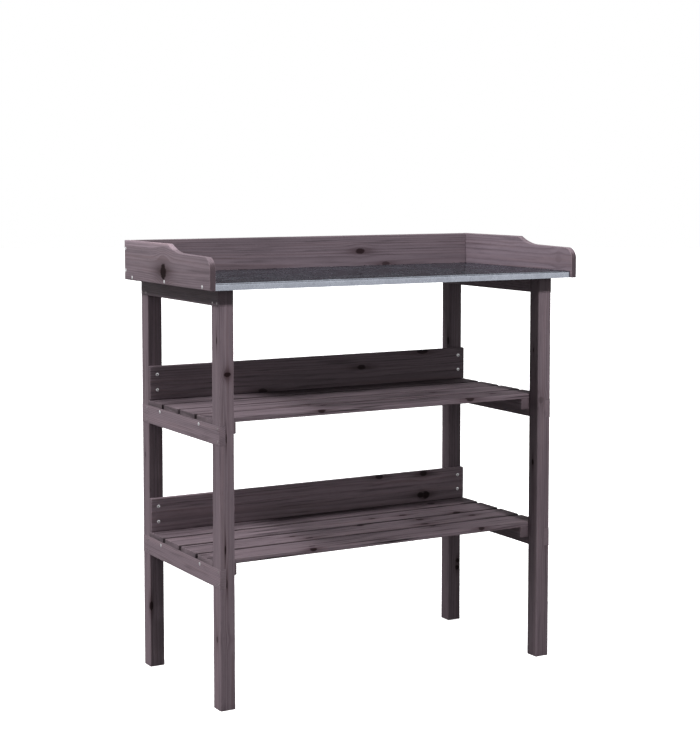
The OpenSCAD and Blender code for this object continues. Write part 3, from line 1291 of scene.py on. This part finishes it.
@dataclass
class Worktop:
    """The galvanised sheet, folded down at the front."""

    node: str = "worktop_sheet"
    gauge: float = 0.7 * MM
    bend: float = 2.2 * MM
    spacing: float = 12 * MM
    buckle: float = 0.22 * MM
    lip_freedom: float = 0.25
    flat_steps: int = 30
    bend_steps: int = 6
    lip_steps: int = 4
    finish: Galvanised = Galvanised()

    def profile(self, low: Vector, high: Vector) -> list[Point3]:
        """The sheet's outer line from the back to the lip's lower edge.

        Args:
            low: The sheet's lowest corner.
            high: The sheet's highest corner.

        Returns:
            Points (y, z) and how free the sheet is to buckle there.
        """
        flat_end = low.y + self.bend
        drop = high.z - self.bend
        places = run((high.y, 0), (flat_end, 1), self.flat_steps)
        flat = [(high.y, high.z, 0.0)] + [(y, high.z, math.sin(math.pi * share)) for y, share in places]
        fold = [(y, z, 0.0) for y, z in arc((flat_end, drop), self.bend, 90.0, 180.0, self.bend_steps)]
        return flat + fold + run((low.y, drop, 0.0), (low.y, low.z, self.lip_freedom), self.lip_steps)

    def build(self) -> bpy.types.Object:
        """Builds, dresses and ties the sheet.

        Returns:
            The object.
        """
        low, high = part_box(self.node)
        outer = self.profile(low, high)
        graph = bmesh.new()
        count = round((high.x - low.x) / self.spacing)
        stands = [low.x] + [x for (x,) in run((low.x,), (high.x,), count)]
        loops = [[graph.verts.new(point) for point in self.loop(x, outer)] for x in stands]
        bridge(graph, loops)
        for loop in (loops[0], loops[-1]):
            for index in range(len(outer) - 1):
                graph.faces.new((loop[index], loop[index + 1], loop[-index - 2], loop[-index - 1]))
        piece = make_object(f"{self.node}_folded", graph)
        finish_piece(piece, self.node, self.finish.material())
        return piece

    def loop(self, x: float, outer: Sequence[Point3]) -> list[Vector]:
        """One cross-section of the sheet, outside and then back along the inside.

        Args:
            x: Where it stands.
            outer: The outer line.

        Returns:
            Its points.
        """
        outside = []
        inside = []
        for index, (y, z, free) in enumerate(outer):
            before = outer[max(0, index - 1)]
            after = outer[min(len(outer) - 1, index + 1)]
            way = Vector((after[0] - before[0], after[1] - before[1])).normalized()
            inward = Vector((0.0, -way.y, way.x))
            wave = noise.noise(Vector((x * 5.0, y * 6.0, 3.0))) - 0.35
            shift = self.buckle * free * min(0.0, wave)
            outside.append(Vector((x, y, z)) + inward * shift)
            inside.append(Vector((x, y, z)) + inward * (shift - self.gauge))
        return outside + inside[::-1]


@dataclass
class Tray:
    """The base boards, the three rims and the sheet."""

    knots: dict[str, tuple[Knot, ...]]
    seed: int = 70

    def build(self) -> list[bpy.types.Object]:
        """Builds the tray.

        Returns:
            Its pieces.
        """
        timbers: list[Timber] = [
            Timber(f"base_board_{place}", Axis.X, Axis.Y, seed=self.seed + number)
            for number, place in enumerate(("front", "middle", "back"))
        ]
        for number, side in enumerate(Side):
            node = f"rim_{side.word}"
            stain = Stain(
                self.knots.get(node, ()),
                tone=0.96 if side is Side.LEFT else 0.84,
                end_stain=0.75,
                sapwood=0.84 if side is Side.LEFT else None,
                lines=0.20,
            )
            timbers.append(RimBoard(node, Axis.Y, Axis.Z, stain=stain, seed=self.seed + 5 + number))
        # The back rim's low tone is painted shade.
        stain = Stain(self.knots.get("rim_back", ()), tone=0.70, lines=0.28)
        timbers.append(Timber("rim_back", Axis.X, Axis.Z, 2.0 * MM, stain, ring=3.4 * MM, seed=self.seed + 8))
        return [timber.build() for timber in timbers] + [Worktop().build()]


Ring = list[Point3]


@dataclass
class FastenerGroup:
    """The screws or nails of one CAD node, all pointing the same way.

    A ring is a list of turns about the fastener's axis, each with its reach from the axis and
    its depth below the head's rim.
    """

    node: str
    kind: Fastener
    axis: Axis
    head: int
    proud: float = 0.12 * MM
    sides: int = 24
    dome: float = 0.35 * MM
    head_depth: float = 2.3 * MM
    pitch: float = 2.0 * MM
    rings_per_pitch: int = 4
    taper: float = 5 * MM
    tip: float = 0.12 * MM
    nail_tip: float = 0.10 * MM
    nail_point: float = 4 * MM

    def build(self, cad: bpy.types.Object, material: bpy.types.Material) -> bpy.types.Object:
        """Builds one solid for each of the node's solids.

        Args:
            cad: The CAD node's object, which gives each solid's box.
            material: The finish.

        Returns:
            The object.
        """
        graph = bmesh.new()
        across = Axis.Y if self.axis is Axis.X else Axis.X
        for number, (low, high) in enumerate(solids_of(cad)):
            head = (low + high) / 2
            head[self.axis.value] = (high if self.head > 0 else low)[self.axis.value]
            size = high - low
            self.add(graph, head, size[self.axis.value], size[across.value] / 2, number)
        piece = make_object(f"{self.node}_set", graph, 38.0)
        finish_piece(piece, self.node, material)
        return piece

    def add(self, graph: bmesh.types.BMesh, head: Vector, length: float, radius: float, number: int) -> None:
        """Adds one fastener.

        Args:
            graph: The group's bmesh.
            head: The middle of its head.
            length: Its length.
            radius: Its head's radius.
            number: Its place in the group, which turns its recess.
        """
        turn = random.Random(self.node + str(number)).uniform(0.0, math.tau)
        rings = self.screw(length, radius) if self.kind is Fastener.SCREW else self.nail(length, radius)
        first, second = [axis.value for axis in Axis if axis is not self.axis]
        loops = []
        for ring in rings:
            loop = []
            for angle, reach, depth in ring:
                point = Vector(head)
                point[self.axis.value] += self.head * (self.proud - depth)
                point[first] += reach * math.cos(angle + turn)
                point[second] += reach * math.sin(angle + turn)
                loop.append(graph.verts.new(point))
            loops.append(loop)
        bridge(graph, loops)
        graph.faces.new(loops[0])
        graph.faces.new(loops[-1])

    def circle(self, reach: float, depth: float) -> Ring:
        """A round ring."""
        return [(math.tau * step / self.sides, reach, depth) for step in range(self.sides)]

    def cross(self, arm: float, width: float, depth: float) -> Ring:
        """A cross-shaped ring.

        Args:
            arm: Its arm's length from the middle.
            width: Its arm's half width.
            depth: How deep it lies.

        Returns:
            The ring, with as many points as a round one.
        """
        tip = math.atan2(width, arm)
        shoulder = tip + 0.12
        quarter = [0.0, tip, shoulder, math.pi / 4, math.pi / 2 - shoulder, math.pi / 2 - tip]
        ring = []
        for quadrant in range(4):
            for angle in quarter:
                side = max(math.cos(angle), 1e-6)
                rise = max(math.sin(angle), 1e-6)
                reach = max(min(arm / side, width / rise), min(width / side, arm / rise))
                ring.append((angle + quadrant * math.pi / 2, reach, depth))
        return ring

    def screw(self, length: float, radius: float) -> list[Ring]:
        """The rings of a countersunk cross-head screw, from its recess to its tip.

        Args:
            length: Its length.
            radius: Its head's radius.

        Returns:
            The rings.
        """
        crest = radius * 0.50
        rings = [
            self.cross(radius * 0.26, radius * 0.10, 1.2 * MM),
            self.cross(radius * 0.52, radius * 0.15, 0.05 * MM - self.dome),
            self.circle(radius * 0.70, 0.12 * MM - self.dome),
            self.circle(radius * 0.92, -0.08 * MM),
            self.circle(radius, 0.08 * MM),
            self.circle(radius * 0.97, 0.30 * MM),
            self.circle(crest, self.head_depth),
        ]
        thread = length - self.head_depth
        count = int(thread / self.pitch * self.rings_per_pitch)
        for step in range(1, count):
            rings.append(self.thread(self.head_depth + thread * step / count, length, radius * 0.34, crest))
        return rings + [self.circle(self.tip, length)]

    def thread(self, depth: float, length: float, core: float, crest: float) -> Ring:
        """One ring of a screw's thread.

        Args:
            depth: How deep it lies.
            length: The screw's length.
            core: The radius between the ridges.
            crest: The radius on the ridges.

        Returns:
            The ring.
        """
        slim = 0.15 + 0.85 * min(1.0, (length - depth) / self.taper)
        ring = []
        for index in range(self.sides):
            share = (depth / self.pitch - index / self.sides) % 1.0
            ridge = max(0.0, 1.0 - abs(share - 0.5) * 4.0)
            ring.append((math.tau * index / self.sides, (core + (crest - core) * ridge) * slim, depth))
        return ring

    def nail(self, length: float, radius: float) -> list[Ring]:
        """The rings of a flat-headed nail, from its head to its point.

        Args:
            length: Its length.
            radius: Its head's radius.

        Returns:
            The rings.
        """
        shank = radius * 0.44
        return [
            self.circle(radius * 0.30, -0.20 * MM),
            self.circle(radius * 0.72, -0.14 * MM),
            self.circle(radius * 0.96, 0.02 * MM),
            self.circle(radius, 0.20 * MM),
            self.circle(radius * 0.94, 0.90 * MM),
            self.circle(shank * 1.05, 1.1 * MM),
            self.circle(shank, 1.6 * MM),
            self.circle(shank, length / 2),
            self.circle(shank, length - self.nail_point),
            self.circle(self.nail_tip, length),
        ]


@dataclass
class Fasteners:
    """Every screw and nail of the bench."""

    screw_finish: ZincPlate = ZincPlate()
    nail_finish: ZincPlate = ZincPlate(f"{Slot.ZINC.value}_stained", (0.30, 0.27, 0.28), (0.15, 0.12, 0.13))

    def build(self, nodes: dict[str, bpy.types.Object]) -> list[bpy.types.Object]:
        """Builds each group.

        Args:
            nodes: The CAD nodes by name.

        Returns:
            The pieces.
        """
        finishes = {Fastener.SCREW: self.screw_finish.material(), Fastener.NAIL: self.nail_finish.material()}
        groups = []
        for side in Side:
            groups.append(FastenerGroup(f"rim_screws_{side.word}", Fastener.SCREW, Axis.X, side.value))
            groups.append(FastenerGroup(f"shelf_screws_{side.word}", Fastener.SCREW, Axis.X, side.value))
            groups.append(FastenerGroup(f"lap_nails_{side.word}", Fastener.NAIL, Axis.X, side.value))
        groups.append(FastenerGroup("base_screws", Fastener.SCREW, Axis.Z, 1, proud=-0.5 * MM))
        for level in ("upper", "lower"):
            groups.append(FastenerGroup(f"{level}_back_board_screws", Fastener.SCREW, Axis.Y, -1))
            groups.append(FastenerGroup(f"{level}_slat_screws", Fastener.SCREW, Axis.Z, -1))
        return [group.build(nodes[group.node], finishes[group.kind]) for group in groups]


# ----------------------------------------------------------------------------- studio


def towards(azimuth: float, elevation: float = 0.0) -> Vector:
    """The direction of a light or a card; azimuth 0 is the front, and 90 the left, in degrees."""
    turn, rise = math.radians(azimuth), math.radians(elevation)
    return Vector((-math.sin(turn) * math.cos(rise), -math.cos(turn) * math.cos(rise), math.sin(rise)))


@dataclass(frozen=True)
class SoftLight:
    """A distant soft light."""

    name: str
    azimuth: float
    elevation: float
    strength: float
    softness: float
    glossy: bool = False
    stand: float = 3.0

    def build(self) -> None:
        """Adds the light."""
        lamp = bpy.data.lights.new(self.name, "SUN")
        lamp.energy = self.strength
        lamp.angle = math.radians(self.softness)
        made = link_object(self.name, lamp)
        source = towards(self.azimuth, self.elevation)
        made.rotation_euler = source.to_track_quat("Z", "Y").to_euler()
        made.location = source * self.stand
        made.visible_glossy = self.glossy


@dataclass(frozen=True)
class PanelLight:
    """A square light panel that stands near the bench, so that its light falls off."""

    name: str
    stand: Point3
    aim: Point3
    size: float
    strength: float

    def build(self) -> None:
        """Adds the light; its strength is what it gives at the aim, as a distant light's is."""
        lamp = bpy.data.lights.new(self.name, "AREA")
        line = Vector(self.stand) - Vector(self.aim)
        lamp.size = self.size
        lamp.energy = self.strength * math.pi * line.length_squared
        made = link_object(self.name, lamp)
        made.rotation_euler = line.to_track_quat("Z", "Y").to_euler()
        made.location = self.stand
        made.visible_glossy = False


@dataclass
class Studio:
    """The camera, the lights, a pale floor, a pale backdrop and cards for the metal to mirror."""

    stand: Point3 = (-1.687, -2.939, 0.997)
    yaw: float = 29.77
    pitch: float = 4.29
    lens: float = 80.85
    sensor: float = 36.0
    shift: float = -0.10
    ambient: float = 0.135
    floor_radius: float = 20.0
    floor_glow: float = 0.95
    lights: tuple[Union[SoftLight, PanelLight], ...] = (
        PanelLight("front_light", (0.27, -1.84, 2.28), (0.0, -0.16, 0.78), 0.22, 2.95),
        SoftLight("left_light", 90.0, 43.0, 3.05, 11.0, glossy=True),
        SoftLight("low_fill", 15.0, 8.0, 0.22, 30.0),
        SoftLight("back_fill", 215.0, 40.0, 0.6, 30.0),
    )
    card_arcs: tuple[Point2, ...] = ((-75.0, 30.0), (100.0, 170.0))
    card_steps: int = 24
    card_radius: float = 6.0
    card_height: float = 2.4
    card_glow: float = 1.45
    canopy_radius: float = 3.6
    canopy_height: float = 4.5
    canopy_glow: float = 1.4

    def build(self) -> None:
        """Builds the studio."""
        self.camera()
        for light in self.lights:
            light.build()
        self.surroundings()
        self.cards()
        view = bpy.context.scene.view_settings
        view.view_transform = "Standard"
        view.look = "None"
        view.exposure = 0.0
        view.gamma = 1.0

    def camera(self) -> None:
        """Adds the camera where it stands, looking yaw degrees right of the depth axis."""
        lens = bpy.data.cameras.new("camera")
        lens.sensor_width = self.sensor
        lens.lens = self.lens
        lens.shift_y = self.shift
        made = link_object("camera", lens)
        made.location = self.stand
        made.rotation_euler = (math.radians(90.0 - self.pitch), 0.0, math.radians(-self.yaw))
        bpy.context.scene.camera = made

    def surroundings(self) -> None:
        """Adds the world's even light, and a floor and a dome that light nothing."""
        world = bpy.data.worlds.new("studio")
        world.use_nodes = True
        background = world.node_tree.nodes["Background"]
        background.inputs["Color"].default_value = (1.0, 1.0, 1.0, 1.0)
        background.inputs["Strength"].default_value = self.ambient
        bpy.context.scene.world = world
        graph = bmesh.new()
        bmesh.ops.create_circle(graph, cap_ends=True, radius=self.floor_radius, segments=96)
        floor = make_object("floor", graph)
        floor.data.materials.append(PalePaint("floor_paint", self.floor_glow, grey=0.8).material())
        graph = bmesh.new()
        bmesh.ops.create_uvsphere(graph, u_segments=64, v_segments=32, radius=self.floor_radius - 0.5)
        dome = make_object("backdrop", graph)
        dome.data.materials.append(PalePaint("backdrop_paint", 1.0).material())
        for surface in (floor, dome):
            surface.visible_diffuse = False
            surface.visible_glossy = False
            surface.visible_shadow = False

    def cards(self) -> None:
        """Adds pale cards that only reflections see: curved ones around and a round one above."""
        paint = PalePaint("card_paint", self.card_glow).material()
        for number, (start, end) in enumerate(self.card_arcs):
            graph = bmesh.new()
            columns = []
            for step in range(self.card_steps + 1):
                foot = towards(start + (end - start) * step / self.card_steps) * self.card_radius
                head = foot + Vector((0.0, 0.0, self.card_height))
                columns.append([graph.verts.new(foot), graph.verts.new(head)])
            for one, two in zip(columns, columns[1:]):
                graph.faces.new((one[0], two[0], two[1], one[1]))
            self.hide_card(make_object(f"card_{number}", graph), paint)
        graph = bmesh.new()
        bmesh.ops.create_circle(graph, cap_ends=True, radius=self.canopy_radius, segments=48)
        canopy = make_object("card_above", graph)
        canopy.location.z = self.canopy_height
        self.hide_card(canopy, PalePaint("canopy_paint", self.canopy_glow).material())

    @staticmethod
    def hide_card(card: bpy.types.Object, paint: bpy.types.Material) -> None:
        """Paints a card and leaves it to reflections alone.

        Args:
            card: The card.
            paint: Its glowing paint.
        """
        card.data.materials.append(paint)
        card.visible_camera = False
        card.visible_diffuse = False
        card.visible_shadow = False
        card.visible_transmission = False


# ----------------------------------------------------------------------------- the bench


LEG_KNOTS = {
    "leg_front_left": (
        Knot(0.80, 0.62, 4.2 * MM, 7.5 * MM, 0.95),
        Knot(0.385, 0.34, 9 * MM, 1.6 * MM, 0.95),
        Knot(0.65, 0.46, 9 * MM, 1.5 * MM, 0.95),
        Knot(0.305, 0.46, 9 * MM, 1.5 * MM, 0.95),
        Knot(0.88, 0.27, 8 * MM, 2.0 * MM, 0.9, edge=True, through=0.0, reach=8 * MM),
        Knot(0.17, 0.40, 6 * MM, 4.0 * MM, 0.45, edge=True),
    ),
    "leg_back_left": (
        Knot(0.16, 0.06, 9 * MM, 4.0 * MM, 0.9, through=0.0, reach=8 * MM),
        Knot(0.55, 0.55, 6 * MM, 3.0 * MM, 0.4, edge=True),
    ),
    "leg_front_right": (
        Knot(0.68, 0.34, 7 * MM, 7.0 * MM, 0.28),
        Knot(0.81, 0.50, 5 * MM, 2.0 * MM, 0.6, edge=True, through=0.0, reach=8 * MM),
        Knot(0.515, 0.50, 6 * MM, 3.0 * MM, 0.95, edge=True, through=0.0, reach=8 * MM),
        Knot(0.30, 0.70, 6 * MM, 4.0 * MM, 0.35),
    ),
    "leg_back_right": (
        Knot(0.17, 0.77, 5 * MM, 4.5 * MM, 0.95),
        Knot(0.15, 0.75, 5 * MM, 4.5 * MM, 0.95),
        Knot(0.80, 0.16, 9 * MM, 4.0 * MM, 0.95, edge=True, through=0.0, reach=8 * MM),
    ),
}

SHELF_KNOTS = {
    "upper_back_board": (
        Knot(0.65, 0.57, 10 * MM, 5 * MM, 0.8),
        Knot(0.855, 0.95, 14 * MM, 6 * MM, 0.8),
        Knot(0.335, 0.02, 10 * MM, 6 * MM, 0.7),
    ),
    "lower_back_board": (
        Knot(0.85, 0.25, 8 * MM, 6 * MM, 0.95),
        Knot(0.87, 0.24, 8 * MM, 6 * MM, 0.95),
        Knot(0.86, 0.95, 9 * MM, 6 * MM, 0.8),
        Knot(0.71, 0.98, 9 * MM, 5 * MM, 0.7),
    ),
    "upper_slat_1": (
        Knot(0.31, 0.02, 9 * MM, 6 * MM, 0.9, through=1.0, reach=7 * MM),
        Knot(0.355, 0.85, 6 * MM, 4 * MM, 0.7),
        Knot(0.765, 0.0, 10 * MM, 6 * MM, 0.8, through=1.0, reach=7 * MM),
        Knot(0.875, 0.57, 8 * MM, 5 * MM, 0.8),
    ),
    "upper_slat_2": (Knot(0.33, 0.11, 6 * MM, 4 * MM, 0.6), Knot(0.74, 0.55, 8 * MM, 5 * MM, 0.8)),
    "lower_slat_1": (
        Knot(0.70, 0.97, 8 * MM, 6 * MM, 0.9),
        Knot(0.295, 0.30, 7 * MM, 4 * MM, 0.6),
        Knot(0.805, 0.0, 8 * MM, 6 * MM, 0.8, through=1.0, reach=7 * MM),
        Knot(0.285, 0.0, 8 * MM, 6 * MM, 0.9, through=1.0, reach=7 * MM),
    ),
    "lower_slat_2": (
        Knot(0.875, 0.55, 8 * MM, 6 * MM, 0.9),
        Knot(0.715, 0.82, 9 * MM, 6 * MM, 0.9),
        Knot(0.695, 0.17, 9 * MM, 6 * MM, 0.9),
        Knot(0.53, 0.92, 8 * MM, 5 * MM, 0.8),
        Knot(0.335, 0.14, 8 * MM, 5 * MM, 0.8),
        Knot(0.305, 0.56, 7 * MM, 5 * MM, 0.7),
    ),
    "lower_slat_3": (
        Knot(0.86, 0.04, 8 * MM, 6 * MM, 0.8),
        Knot(0.705, 0.48, 9 * MM, 6 * MM, 0.9),
        Knot(0.605, 0.50, 8 * MM, 5 * MM, 0.8),
    ),
    "lower_slat_4": (Knot(0.865, 0.45, 9 * MM, 6 * MM, 0.8),),
}

TRAY_KNOTS = {
    "rim_left": (Knot(0.52, 0.31, 13 * MM, 15 * MM, 1.0),),
    "rim_right": (Knot(0.11, 0.46, 10 * MM, 9 * MM, 0.12),),
    "rim_back": (Knot(0.66, 0.55, 11 * MM, 6 * MM, 0.85), Knot(0.74, 0.20, 9 * MM, 5 * MM, 0.6)),
}


def main() -> None:
    """Builds the bench around the frame, then the studio."""
    logging.basicConfig(level=logging.INFO, format="%(name)s %(message)s")
    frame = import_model()
    pieces: list[bpy.types.Object] = []
    pieces += LegFrame(Side.LEFT, LEG_KNOTS, leg_tone=0.88, seed=10).build()
    # The right legs' lower tone is painted shade.
    pieces += LegFrame(Side.RIGHT, LEG_KNOTS, leg_tone=0.79, seed=30).build()
    pieces += Shelf("upper", seed=50, board_tone=0.98, knots=SHELF_KNOTS).build()
    # The lower back board's higher tone is painted light.
    pieces += Shelf("lower", seed=90, board_tone=1.30, knots=SHELF_KNOTS).build()
    pieces += Tray(TRAY_KNOTS).build()
    pieces += Fasteners().build(frame["nodes"])
    Studio().build()
    LOG.info("%d pieces", len(pieces))


if __name__ == "__main__":
    main()
